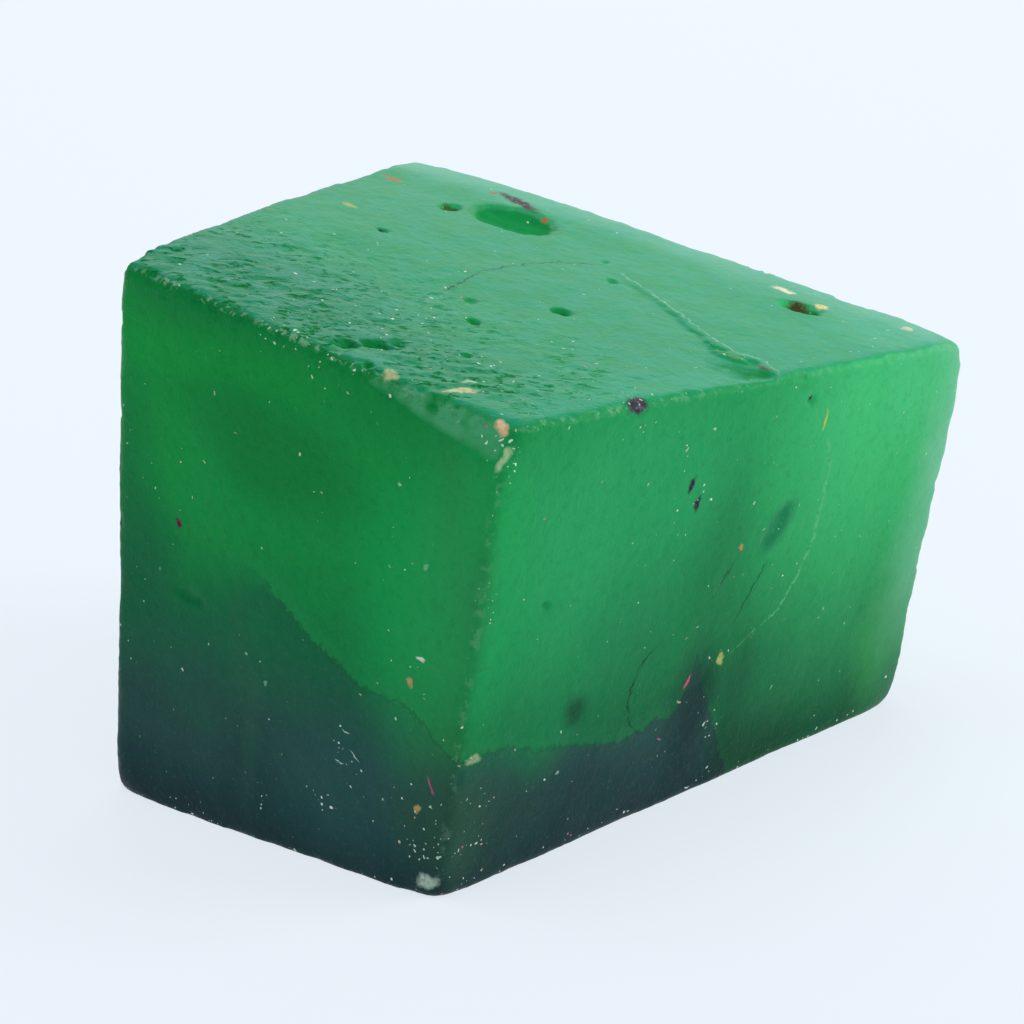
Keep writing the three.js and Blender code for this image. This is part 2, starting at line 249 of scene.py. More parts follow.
applyModifier(stone, "DISPLACE", direction="Z", mid_level=0, strength=rising, vertex_group="arch")

print("flakes, hollows and chips")
# Points of a flake's broken edge on its face, with the scar to the right of them as they run:
# nothing deep at the first, this deep at the last, and feathering out at this reach.
flakes = {
    "top": {
        "scarp": [
            (9.9, -2.6), (8.9, -6.2), (7.5, -10.1), (5.6, -15.1), (6.2, -19.4), (5.4, -21.6), (5.2, -26),
        ],
        "depth": 0.32,
        "reach": 13,
    },
    "back": {
        "scarp": [(9.4, 20.6), (5.8, 18.7), (-2.9, 17.8), (-6.1, 15.2), (-13.5, 14.6), (-23, 10.9)],
        "depth": 1.1,
        "reach": 12,
    },
    "far": {
        "scarp": [(-1.6, 8.4), (-4.3, 13.9), (-9.1, 18.0), (-9.7, 25.5), (-12.8, 37)],
        "depth": 0.9,
        "reach": 11,
    },
}
breaking = {
    "strays": (0.11, 0.11, 0.16),  # each pass breaks every stretch of the edge, by up to this share of it
    "at": (0.35, 0.65),
    "feltAt": 0.15,  # how far back to the first point the surface is felt for, to be on the face
}
# Place on a face, half-widths, depth and turn in degrees.
hollows = {
    "front": [
        (-15.1, 19.0, 0.45, 0.45, 0.3, 0),
        (8.9, 27.1, 0.45, 0.5, 0.3, 0),
        (6.8, 18.3, 0.8, 2.0, 0.18, -40),
    ],
    "end": [(-6.0, 15.4, 1.5, 0.5, 0.25, -10)],
    "top": [
        (10.8, 7.8, 2.9, 3.6, 0.6, 12),
        (-19.6, -7.0, 1.2, 0.8, 0.4, -20),
        (-17.8, -7.9, 1.5, 0.8, 0.45, -40),
        (-16.3, -8.3, 0.8, 0.5, 0.3, 0),
        (-21.3, -9.9, 0.9, 0.5, 0.25, -50),
        (-0.5, -7.7, 0.7, 0.85, 0.45, 20),
        (-5.3, -3.8, 0.45, 0.6, 0.3, -20),
        (-8.2, -6.9, 0.5, 0.6, 0.35, 0),
        (18.3, -13.0, 1.1, 1.8, 0.55, 30),
        (8.0, 11.4, 1.3, 0.8, 0.35, 10),
        (8.1, -4.4, 0.4, 0.5, 0.25, 0),
        (5.0, -17.9, 0.5, 1.3, 0.42, 10),
        (-13.2, -11.4, 0.5, 0.35, 0.22, -35),
        (-1.3, 8.8, 0.35, 0.5, 0.25, 0),
        (10.8, -1.1, 0.35, 0.35, 0.2, 0),
    ],
    "back": [
        (13.4, 30.8, 3.4, 2.4, 0.6, 15),
        (-3.5, 6.8, 1.6, 1.0, 0.4, 30),
        (9.8, 9.4, 0.8, 0.6, 0.35, 0),
    ],
    "far": [
        (13.8, 25.6, 2.2, 3.0, 0.6, 20),
        (5.4, 16.0, 1.1, 0.7, 0.35, -20),
        (-17.2, 11.5, 0.7, 0.6, 0.35, 0),
    ],
}
bowlSpread = 1.155  # a bowl centred one depth above the face is this much wider than its hollow
# The two faces of an edge, the faces it runs between, how many chips, and their half-length and half-width.
chippedEdges = [
    ("top", "end", "front", "back", 8, 0.6, 0.22),
    ("top", "front", "end", "far", 9, 0.6, 0.2),
    ("top", "back", "end", "far", 12, 0.6, 0.22),
    ("top", "far", "front", "back", 6, 1.2, 0.35),
    ("end", "front", "base", "top", 6, 0.7, 0.2),
    ("front", "far", "base", "top", 6, 0.7, 0.25),
    ("end", "back", "base", "top", 12, 0.5, 0.2),
    ("far", "back", "base", "top", 6, 1.5, 0.45),
]
chipping = {
    "within": (0.15, 0.85),  # where a chip may lie in its own stretch of the edge
    "size": (0.6, 1.4),  # times the usual one
    "offEdge": 0.45,  # mm
    "lift": 0.1,
    "broaden": 1.5,  # chips are this much wider across the edge than they are high
    "uneven": 0.12,
    "crumbs": 64,  # small chips crowding the top edge of the end face
    "crumbHalf": (0.36, 0.2),
    "crumbSpan": (0.02, 0.85),  # share of that edge, from the front
    "crumbBias": 1.2,
    "tearing": (0.4, 0.6),  # strength and wavelength in mm of the torn walls of all the cuts
}
fullTurn = 6.28  # radians
aloof = 10  # mm, well clear of the surface
wornTree = BVHTree.FromObject(stone, bpy.context.evaluated_depsgraph_get())


def rise(placed, x, y):  # mm that the worn surface stands out of a face or edge at a spot
    inwards = placed.to_3x3() @ Vector((0, 0, -1))
    hit = wornTree.ray_cast(placed @ Vector((x, y, aloof)) * mm, inwards)
    return aloof - hit[3] / mm if hit[0] else 0


def placeInMesh(item, placed):  # sets a mesh modelled in mm on a face or edge
    item.data.transform(Matrix.Scale(mm, 4) @ placed)
    return item


def jagged(line, stray):
    broken = [line[0]]
    for start, stop in zip(line, line[1:]):
        step = stop - start
        aside = stray * random.uniform(-1, 1)
        share = random.uniform(*breaking["at"])
        broken.append(start + step * share + Vector((-step.y, step.x)) * aside)
        broken.append(stop)
    return broken


cutters = []
for face, flake in flakes.items():
    placed = faceFrame(face)
    edge = [Vector(point) for point in flake["scarp"]]
    along = (edge[-1] - edge[0]).normalized()
    feather = edge[-1] + Vector((along.y, -along.x)) * flake["reach"]
    floor = []
    for spot, sunk in ((edge[0], 0), (feather, 0), (edge[-1], flake["depth"])):
        inner = spot.lerp(edge[0], breaking["feltAt"])
        floor.append(Vector((*spot, rise(placed, *inner) - sunk)))
    floorNormal = (floor[1] - floor[0]).cross(floor[2] - floor[0])
    outline = edge
    for stray in breaking["strays"]:
        outline = jagged(outline, stray)
    outline.append(feather)
    bpy.ops.object.select_all(action="DESELECT")
    bpy.ops.mesh.primitive_circle_add(vertices=len(outline), fill_type="NGON")
    scar = bpy.context.object
    for vertex, spot in zip(scar.data.vertices, outline):
        z = floor[0].z - ((spot - edge[0]).dot(floorNormal.xy)) / floorNormal.z
        vertex.co = (*spot, z)
    bpy.ops.object.mode_set(mode="EDIT")
    bpy.ops.mesh.select_all(action="SELECT")
    bpy.ops.mesh.extrude_region_move(TRANSFORM_OT_translate={"value": (0, 0, aloof)})
    bpy.ops.mesh.select_all(action="SELECT")
    bpy.ops.mesh.normals_make_consistent(inside=False)
    bpy.ops.object.mode_set(mode="OBJECT")
    cutters.append(placeInMesh(scar, placed))
for face, spots in hollows.items():
    placed = faceFrame(face)
    for x, y, halfX, halfY, depth, turn in spots:
        bpy.ops.object.select_all(action="DESELECT")
        bpy.ops.mesh.primitive_uv_sphere_add(
            segments=28, ring_count=18, scale=(bowlSpread * halfX, bowlSpread * halfY, 2 * depth)
        )
        bowl = bpy.context.object
        bpy.ops.object.transform_apply(location=False, rotation=False, scale=True)
        cutters.append(placeInMesh(bowl, seatOn(placed, x, y, rise(placed, x, y) + depth, turn)))
for first, second, begin, finish, count, halfLength, halfWidth in chippedEdges:
    placed, length = edgeFrame(first, second, begin, finish)
    chips = []
    for i in range(count):
        chips.append(((i + random.uniform(*chipping["within"])) / count, halfLength, halfWidth))
    if (first, second) == ("top", "end"):
        for i in range(chipping["crumbs"]):
            share = random.uniform(*chipping["crumbSpan"]) ** chipping["crumbBias"]
            chips.append((share, *chipping["crumbHalf"]))
    for share, long, wide in chips:
        size = random.uniform(*chipping["size"])
        x, y = share * length, random.uniform(-chipping["offEdge"], chipping["offEdge"])
        tumble = (random.uniform(0, fullTurn), random.uniform(0, fullTurn), 0)
        bpy.ops.object.select_all(action="DESELECT")
        bpy.ops.mesh.primitive_ico_sphere_add(subdivisions=2, radius=1, rotation=tumble)
        chip = bpy.context.object
        bpy.ops.object.transform_apply(location=False, rotation=True, scale=False)
        bpy.ops.object.mode_set(mode="EDIT")
        bpy.ops.mesh.select_all(action="SELECT")
        bpy.ops.transform.resize(value=(long * size, chipping["broaden"] * wide * size, wide * size))
        bpy.ops.transform.vertex_random(offset=chipping["uneven"], seed=random.randrange(1000))
        bpy.ops.object.mode_set(mode="OBJECT")
        cutters.append(placeInMesh(chip, seatOn(placed, x, y, rise(placed, x, y) + chipping["lift"])))
select(*cutters)
bpy.ops.object.join()
cutter = bpy.context.object
strength, wavelength = chipping["tearing"]
tearing = cloudsOf("tearing", wavelength)
applyModifier(cutter, "DISPLACE", texture=tearing, texture_coords="LOCAL", strength=strength * mm)
applyModifier(stone, "BOOLEAN", operation="DIFFERENCE", solver="MANIFOLD", object=cutter)
select(cutter)
bpy.ops.object.delete()

print("surface")
surface = {
    "voxel": 0.18,
    "strokes": 0.34,  # mm of relief in the coarse strokes by the end edge of the top
    "strokeLength": 1.3,
    "strokeWidth": 0.8,
    "strokeHeading": -35,  # degrees
    "strokesFade": (5.0, 21.0),  # mm from the end face
    "strokeMiddle": 0.55,  # share of that relief that goes inwards
    "strokePatches": (0.75, 1.3, 3.1),  # usual share, how far it varies, and over how many mm
    "leastStrokes": 0.1,
    "frontCalm": (3, 0.35),  # near the front the strokes weaken, from this far in and to this share
    "downEdge": (1.6, 1.2),  # below the top they fade, from 0.7 mm under it to 1.9
    "grit": (0.08, 0.7),  # strength and wavelength in mm
    "trim": (0.9985, 0.997, 0.9965),  # keeps the roughened stone within its size
    "triangles": 190000,
}
applyModifier(stone, "REMESH", mode="VOXEL", voxel_size=surface["voxel"] * mm)
print("  faces", len(stone.data.polygons))


def strokeShareAt(points):  # where the top is rough, by the end face and most of all at its edge
    fromTop, fromEnd, fromFront = depthsUnder(points, ["top", "end", "front"])
    near, gone = surface["strokesFade"]
    usual, varies, wavelength = surface["strokePatches"]
    patches = noiseAt(points, wavelength, (5, 1, 3))
    share = np.clip((gone - fromEnd) / (gone - near), 0, 1)
    share = share * np.clip(usual + varies * patches, surface["leastStrokes"], 1)
    calmReach, calmShare = surface["frontCalm"]
    start, fall = surface["downEdge"]
    return share * np.clip(fromFront / calmReach, calmShare, 1) * np.clip(start - fromTop / fall, 0, 1)


paintGroup(stone, "strokes", strokeShareAt(pointsOf(stone)))
bpy.ops.object.empty_add(rotation=(0, 0, math.radians(surface["strokeHeading"])))
grain = bpy.context.object
grain.scale = (surface["strokeLength"], surface["strokeWidth"], surface["strokeWidth"])
bpy.context.view_layer.update()
applyModifier(
    stone, "DISPLACE", texture=cloudsOf("strokes", 1), texture_coords="OBJECT", texture_coords_object=grain,
    strength=surface["strokes"] * mm, mid_level=surface["strokeMiddle"], vertex_group="strokes",
)
select(grain)
bpy.ops.object.delete()
strength, wavelength = surface["grit"]
grit = cloudsOf("grit", wavelength)
applyModifier(stone, "DISPLACE", texture=grit, texture_coords="LOCAL", strength=strength * mm)
select(stone)
bpy.ops.object.mode_set(mode="EDIT")
bpy.ops.mesh.select_all(action="SELECT")
bpy.ops.mesh.bisect(
    plane_co=(0, 0, 0), plane_no=(0, 0, -1), use_fill=True, clear_outer=True, threshold=0.001 * mm
)
bpy.ops.mesh.select_all(action="SELECT")
bpy.ops.transform.resize(value=surface["trim"], center_override=(0, 0, 0))
bpy.ops.object.mode_set(mode="OBJECT")
applyModifier(stone, "TRIANGULATE")
ratio = surface["triangles"] / len(stone.data.polygons)
applyModifier(stone, "DECIMATE", ratio=min(1, ratio))
print("  triangles", len(stone.data.polygons))
bpy.ops.object.shade_smooth()
stone.vertex_groups.clear()

# what the material needs to know of the shape: how far each spot lies under the stone's first
# surface, how near it is to an edge, how rough the top is there, and how far under the long chamfer
points = pointsOf(stone)
sunk = []
for spot in points:
    nearest, facing, face, distance = wornTree.find_nearest(Vector(spot) * mm)
    sunk.append(math.copysign(distance / mm, facing.dot(nearest - Vector(spot) * mm)))
paintValue(stone, "sunk", sunk)
paintValue(stone, "edge", np.sort(depthsUnder(points, planes), axis=0)[1])
paintValue(stone, "rough", strokeShareAt(points))
paintValue(stone, "facet", depthUnderChamfer(points))
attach(stone, "root")
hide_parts("raw_emerald")

print("material")
# Beryl with a natural, etched and scuffed skin: a glassy crystal, but clouded, with a soft sheen where
# light grazes it and no clear reflection.
frostedBeryl = {
    "ior": 1.58,
    "specular": 0.06,  # the etched skin scatters most of its mirror reflection
    "roughness": (0.4, 0.9),  # on the skin and in the etched hollows
    # height in mm and colour, for the clear green stone and for the smoky zone at its foot; both darken
    # towards the foot, partly the stone's own colour and partly painted shade where less light from the top
    # gets through
    "clear": [
        (0, "#035230"), (3, "#035933"), (7, "#03653a"), (11, "#07743d"), (17, "#078a42"), (23, "#079742"),
        (36, "#0a953f"),
    ],
    "smoky": [
        (0, "#163235"), (3, "#193e3f"), (7, "#244f46"), (10, "#1d5d46"), (14, "#0d6942"), (20, "#077840"),
    ],
    "tallest": 36,
    "cloudLift": 3.5,  # mm up or down that the clouds shift these colours
    # top of the smoky zone: height in mm along the front, and along the end face towards the back
    "frontLine": [
        (-26, 9.6), (-20.6, 9.55), (-17.9, 9.4), (-13.7, 8.0), (-10.3, 7.2), (-6.4, 6.2), (-4.4, 6.3),
        (-3.1, 6.8), (-1.7, 6.2), (0.1, 8.2), (0.5, 10.7), (1.9, 6.9), (3.1, 3.8), (4.5, 0.6), (6, -2.5),
        (26, -5),
    ],
    "backLine": [
        (-20, 10.0), (-18.9, 9.9), (-17.9, 10.6), (-16.4, 11.8), (-14.6, 12.7), (-11.4, 12.9), (-10, 13.6),
        (-8.2, 14.6), (-5.7, 16.3), (-3, 18.4), (0, 19.1), (6, 19.5), (18, 19.8),
    ],
    "shared": 10.25,  # height at the corner where both lines meet, with half of the fraying
    "veil": "#5cb482",  # pale haze of fine scratches, and painted sheen on the long chamfer where it is thickest
    "murk": "#003c1c",
    "outline": "#06301c",
    "fringe": "#38a868",  # paler stone just above the smoky zone
    "lit": "#3fc573",  # painted glow: the clear stone where light passes through its thinner end
    "margin": "#7cc49e",  # painted pale glow and haze on the thin rim of that end
    "recess": "#057428",  # painted shade: darker green in the hollows
    "sheenColour": "#24b0ae",  # painted sheen: fine bluish light on the upward faces of the top
    "crumbs": "#bcdcc0",  # pale powder along the worn edges
    # each dust colour, and the share of the specks that come before it
    "dust": [(0, "#ecf6e4"), (0.5, "#c4e4c4"), (0.85, "#d8c4a0"), (0.97, "#d85a86")],
    "patterns": {  # grains to each mm, finer layers, and how strong those are
        "ruffle": (1.1, 2.0, 0.6),
        "frosting": (3.5, 1.0, 0.65),
        "clouds": (0.16, 1.0, 0.55),
        "powder": (1.6, 2.0, 0.65),
        "strokes": (1.0, 2.0, 0.6),
        "paintedSheen": (1.0, 2.0, 0.66),
    },
    "stretched": {  # mm along and across the strokes that make the grains of these two
        "strokes": (0.8, 0.5, 0.5),
        "paintedSheen": (2.2, 1.7, 1.7),
    },
    "stray": 0.9,  # mm in all that outlines wander
    "strokeRelief": 0.09,  # mm
    "frostRelief": 0.018,
}
# Clouds and zones within the stone, and a painted sheen over the front. Face, middle, half-widths, turn,
# colour, share.
zones = [
    # painted sheen: a pale veil over the front face
    ("front", -8, 24, 17, 11, 0, "#34ae76", 0.4),
    ("front", -21.8, 18, 1.1, 12, -4, "#3a6e40", 0.5),
    ("front", -11.1, 10.8, 1.0, 0.9, 0, "#04472c", 0.85),
    ("front", 2.0, 16, 3.2, 8, 8, "#0c6c3c", 0.5),
    ("front", 0.2, 5.6, 2.2, 4.6, -8, "#0a2b2b", 0.75),
    ("front", 5.2, 6.0, 2.0, 4.2, -6, "#0f4c30", 0.45),
    ("front", 6.8, 1.6, 4.5, 2.0, 0, "#003420", 0.5),
    ("front", -15.2, 9.2, 2.6, 2.4, 0, "#0c8048", 0.4),
    ("front", 20.6, 6.0, 2.2, 5, -10, "#34984c", 0.6),
    ("end", -12.0, 19, 3.4, 8, 0, "#0c5a3c", 0.5),
    ("end", -15.6, 16, 2.0, 18, 1, "#033c28", 0.6),
    ("end", -3.0, 32.0, 9.0, 2.2, 0, "#06a83c", 0.6),
    ("end", 1.5, 26.5, 7.5, 2.6, -18, "#027030", 0.5),
    ("end", -0.9, 9.5, 0.9, 5.5, 2, "#2a6048", 0.4),
    ("end", 13.4, 18.5, 4.6, 7.5, 0, "#0cae58", 0.55),
    ("end", 17.0, 4.2, 1.5, 3.4, 0, "#2f5c44", 0.5),
    ("end", 17.4, 27.0, 1.3, 4.0, 0, "#08a848", 0.45),
    ("end", 8.0, 6.0, 6.0, 4.0, 0, "#2c5e5c", 0.35),
    ("front", -21.2, 4.2, 1.8, 3.2, 0, "#2f5c44", 0.5),
    ("front", -15.0, 4.0, 7.0, 3.5, 0, "#0c2826", 0.3),
    ("front", -5.0, 15.0, 4.5, 6.0, 0, "#0c6c3c", 0.3),
    ("top", -18.0, 3, 7.2, 20, 0, "#04643a", 0.5),
    ("top", 20.5, -19, 3.5, 4, 0, "#5ac48c", 0.5),
]
# Where dust has gathered. Face, middle, half-widths, how thick it lies.
litter = [
    ("top", -21.5, -3.3, 0.6, 1.9, 1.3),
    ("top", -21.5, -7.2, 0.35, 3.0, 0.5),
    ("top", -20.7, -12.0, 0.6, 0.9, 0.7),
    ("top", -19.3, -20.8, 0.8, 1.2, 0.8),
    ("top", -18.1, -15.8, 0.8, 1.4, 0.4),
    ("top", -14.0, -4.0, 5.0, 5.0, 0.16),
    ("top", -15.0, -13.0, 3.4, 3.4, 0.2),
    ("top", -7.0, -13.0, 4.0, 3.0, 0.12),
    ("top", -8.1, -21.5, 1.0, 1.2, 0.6),
    ("top", 5.5, -17.8, 0.8, 3.4, 0.35),
    ("top", -21.7, 9.5, 0.7, 0.8, 0.6),
    ("front", -8.0, 30.7, 1.6, 0.5, 0.6),
    ("front", -3.0, 26.4, 0.7, 1.6, 0.6),
    ("front", -4.6, 13.4, 0.8, 1.2, 0.35),
    ("front", 11.6, 20.5, 0.5, 2.6, 0.35),
    ("front", 9.4, 14.6, 0.9, 1.8, 0.35),
    ("front", -2.0, 22.0, 1.4, 1.4, 0.4),
    ("front", 3.1, 9.5, 0.7, 0.9, 0.8),
    ("front", 2.9, 3.5, 0.8, 2.4, 0.4),
    ("front", -19.9, 29.7, 0.6, 1.5, 0.5),
    ("front", -20.2, 20.5, 0.6, 1.6, 0.7),
    ("front", -19.0, 4.6, 1.3, 2.2, 0.6),
    ("front", -20.6, 9.6, 0.8, 0.5, 0.9),
    ("end", 19.0, 30.0, 0.5, 1.4, 0.6),
    ("end", 17.9, 20.5, 0.5, 1.6, 0.6),
    ("end", 7.6, 8.1, 1.2, 1.6, 0.45),
    ("end", 6.0, 4.4, 1.0, 0.6, 1.0),
    ("end", 0.7, 2.9, 0.5, 1.2, 0.8),
    ("end", 13.3, 5.4, 2.6, 2.2, 0.35),
    ("end", 15.0, 2.5, 2.4, 1.3, 0.7),
    ("end", -4.0, 0.6, 1.0, 0.5, 0.8),
    ("end", 10.0, 21.6, 2.6, 1.6, 0.2),
    ("end", 3.4, 24.6, 2.4, 1.4, 0.14),
    ("end", -9.0, 25.0, 2.6, 4.0, 0.06),
    ("end", 11.0, 14.0, 2.4, 2.0, 0.14),
]
# Small marks and stains. Face, middle, half-widths, turn, colour.
marks = [
    ("top", 10.9, 7.8, 2.5, 3.2, 12, "#089048"),
    ("top", 14.1, 10.6, 0.55, 1.9, -5, "#3a0c1c"),
    ("top", 13.6, 12.7, 0.3, 0.3, 0, "#a06a34"),
    ("top", 13.3, 7.1, 0.28, 0.34, 0, "#a86c38"),
    ("top", 8.0, 11.4, 0.7, 0.6, 0, "#3c5a2c"),
    ("top", 18.3, -12.6, 0.8, 0.8, 0, "#4a4424"),
    ("top", 5.0, -17.9, 0.5, 1.3, 10, "#0c8c3c"),
    ("top", 5.8, -20.3, 0.14, 0.9, 8, "#6a6450"),
    ("front", 2.35, 15.8, 0.09, 1.5, -38, "#15603a"),
    ("front", 5.2, 13.6, 0.09, 2.5, -33, "#15603a"),
    ("top", 19.9, -9.9, 0.4, 0.75, 20, "#f0e8c0"),
    ("top", 20.0, -13.3, 0.4, 0.6, 0, "#e8d890"),
    ("top", 23.0, -18.6, 0.4, 0.35, 0, "#c8d8a8"),
    ("top", 8.6, 18.0, 0.4, 0.8, 0, "#9a7a3c"),
    ("top", 0.3, 13.8, 0.35, 0.6, 0, "#9ab04a"),
    ("top", -1.3, 8.8, 0.22, 0.5, 0, "#1a3c2c"),
    ("top", -19.3, -20.5, 0.34, 0.46, 0, "#f4c8a0"),
    ("end", 18.5, 31.4, 0.28, 0.34, 0, "#f0b888"),
    ("top", -18.2, -15.9, 0.3, 1.1, 70, "#c8cc98"),
    ("top", -16.7, -15.0, 0.2, 0.5, 60, "#a8c890"),
    ("top", -20.5, -12.0, 0.4, 0.55, 0, "#b8c088"),
    ("top", -8.2, -21.5, 1.0, 0.5, 0, "#2c5044"),
    ("front", -8.2, 30.8, 1.0, 0.36, 8, "#3c3040"),
    ("end", 19.1, 30.1, 0.2, 0.9, -18, "#a8c894"),
    ("front", -2.4, 23.8, 0.28, 0.45, 0, "#2c1c34"),
    ("front", -1.6, 22.3, 0.25, 0.6, -15, "#301a36"),
    ("front", 0.0, 8.7, 0.12, 0.55, -38, "#e0507c"),
    ("front", 7.1, 18.2, 1.1, 2.0, -42, "#1a8450"),
    ("front", 3.6, 17.8, 0.2, 0.2, 0, "#c08a58"),
    ("front", 10.7, 25.2, 0.12, 0.65, 0, "#b4c24c"),
    ("front", 8.9, 27.1, 0.16, 0.18, 0, "#3a1830"),
    ("front", 3.1, 9.5, 0.3, 0.5, 0, "#a8b460"),
    ("front", -20.2, 9.6, 0.6, 0.3, 0, "#8ca878"),
    ("end", 17.6, 9.9, 0.5, 0.3, 0, "#93a850"),
    ("end", -7.0, 20.2, 0.2, 0.4, 25, "#5c1640"),
    ("end", 14.2, 1.1, 0.7, 0.55, 0, "#a8bca8"),
    ("end", 14.5, 7.6, 0.09, 0.5, 20, "#c04a88"),
    ("end", 12.6, 14.0, 0.2, 0.32, 0, "#c09a70"),
    ("end", 13.5, 5.8, 0.18, 0.3, 0, "#b89a60"),
    ("end", 13.3, 15.8, 0.4, 0.12, 0, "#d8e4c8"),
    ("end", -15.9, 18.6, 0.12, 5.0, 0, "#4c4a30"),
    ("end", 13.8, 21.9, 0.18, 0.18, 0, "#6cb884"),
    ("end", 7.4, 9.4, 0.05, 0.4, 70, "#c0d4c8"),
    ("end", 8.1, 8.0, 0.05, 0.5, 60, "#b8ccc0"),
    ("end", 6.9, 7.3, 0.05, 0.4, 80, "#b0c8bc"),
]
# Cracks and ridges, and a painted highlight along one ridge: face, whether they run across or up it,
# half-width, points, colour.
threads = [
    (
        "front", "up", 0.13,
        [(5.9, -4.4), (7.6, -5.7), (9, -6.1), (10.4, -5.7), (12, -4.6), (12.9, -3.1), (13.1, -0.7)],
        "#0a2c1a",
    ),
    (
        "front", "up", 0.2,
        [(9.5, 3.6), (11.6, 8.6), (13.6, 10.2), (16.1, 11.3), (21.2, 11.9), (24, 11.3)],
        "#5ab878",
    ),
    (
        "top", "across", 0.13,
        [(-6, -1.8), (-4.2, -1.2), (-1, -0.2), (1.8, 0.4), (5, 0.2), (7.4, -0.1), (10.1, -1.3)],
        "#0c4426",
    ),
    # painted highlight along the upper edge of the flake scar on the top
    (
        "top", "up", 0.13,
        [(-21.8, 5.75), (-19.5, 6.6), (-17.4, 6.0), (-14.9, 6.4), (-10.3, 8.0), (-6.3, 9.4), (-2.8, 10.2)],
        "#6cbc98",
    ),
]
# Soft outlines, in half-widths from the middle of a zone, dust patch or mark. Depths are in mm.
outlines = {
    "zone": (1.7, 1.4),  # where it ends, and how far in it is at its full share
    "zoneDepth": 5,
    "wander": (1.6, 8),  # mm that the zones stray, and over how many mm
    "wanderSeed": 1795483911,  # fixes where they stray, which would follow the clock without it
    "litterEnd": 1.6,
    "litterDepth": 2,
    "mark": (1.3, 0.7),  # where it ends, and where it is at its full share
    "markDepth": 1.25,
    "threadCore": 0.3,
    "threadDepth": (1.6, 1.2),
    "threadLimits": (-25, 25),  # mm, beyond all points of the threads
}
# How thick the dust lies along edges, and how many mm wide.
dustyEdges = {
    "topOfEnd": (0.45, 0.7),
    "frontOfEnd": (0.2, 0.7),
    "foot": (0.4, 1.2),
}


def linear(code):  # sRGB hex to linear
    parts = [int(code[i:i + 2], 16) / 255 for i in (1, 3, 5)]
    return [p / 12.92 if p <= 0.04045 else ((p + 0.055) / 1.055) ** 2.4 for p in parts] + [1]


def inHalfWidths(points, seat, *halves):  # how far points lie from a seat, in half-widths
    plain = np.c_[points, np.ones(len(points))]
    local = (plain @ np.array(seat.inverted()).T)[:, :3] / halves
    return np.linalg.norm(local, axis=1)


# The zones are painted on the vertices: what they add in colour, and how much of the stone shows.
points = pointsOf(stone)
stray, wavelength = outlines["wander"]
noise.seed_set(outlines["wanderSeed"])
strayed = points + np.array([noise.noise_vector(Vector(p) / wavelength) for p in points]) * stray
stained = np.tile((0.0, 0.0, 0.0, 1.0), (len(points), 1))
end, softness = outlines["zone"]
for face, x, y, halfX, halfY, turn, code, share in zones:
    seat = seatOn(faceFrame(face), x, y, turn=turn)
    away = inHalfWidths(strayed, seat, halfX, halfY, outlines["zoneDepth"])
    inside = np.clip((end - away) / softness, 0, 1)
    inside = share * inside**2 * (3 - 2 * inside)
    stained *= (1 - inside)[:, None]
    stained[:, :3] += inside[:, None] * linear(code)[:3]
painted = stone.data.color_attributes.new("stain", "FLOAT_COLOR", "POINT")
painted.data.foreach_set("color", stained.ravel())
fromEnd, fromTop, fromFront = depthsUnder(points, ["end", "top", "front"])
dusty = np.zeros(len(points))
edgeDistances = {
    "topOfEnd": np.hypot(fromEnd, fromTop),
    "frontOfEnd": np.hypot(fromEnd, fromFront),
    "foot": points[:, 2],
}
for name, away in edgeDistances.items():
    thick, wide = dustyEdges[name]
    dusty += thick * np.clip(1 - away / wide, 0, 1)
for face, x, y, halfX, halfY, thick in litter:
    away = inHalfWidths(points, seatOn(faceFrame(face), x, y), halfX, halfY, outlines["litterDepth"])
    dusty += thick * np.clip(outlines["litterEnd"] - away, 0, 1)
paintValue(stone, "dusty", dusty)

material = bpy.data.materials.new("frosted beryl")
material.use_nodes = True
tree = material.node_tree
shader = tree.nodes["Principled BSDF"]
stone.data.materials.clear()
stone.data.materials.append(material)


# Inputs go by name or number. A Map Range has its value at 0, from at 1 and 2, and to at 3 and 4.
def addNode(kind, inputs={}, **settings):
    node = tree.nodes.new("ShaderNode" + kind)
    for name, value in settings.items():
        setattr(node, name, value)
    for name, value in inputs.items():
        if isinstance(value, bpy.types.NodeSocket):
            tree.links.new(value, node.inputs[name])
        else:
            node.inputs[name].default_value = value
    return node


def runThrough(along, line, low, high):  # a height in mm that follows a line of points
    start, stop = line[0][0], line[-1][0]
    spread = addNode("MapRange", {0: along, 1: start, 2: stop}).outputs[0]
    node = addNode("FloatCurve", {1: spread})
    curve = node.mapping.curves[0]
    spots = [((x - start) / (stop - start), (y - low) / (high - low)) for x, y in line]
    for spot in spots[1:-1]:
        curve.points.new(*spot)
    curve.points[0].location, curve.points[-1].location = spots[0], spots[-1]
    for knot in curve.points:
        knot.handle_type = "VECTOR"
    node.mapping.update()
    return addNode("MapRange", {0: node.outputs[0], 3: low, 4: high}, clamp=False).outputs[0]


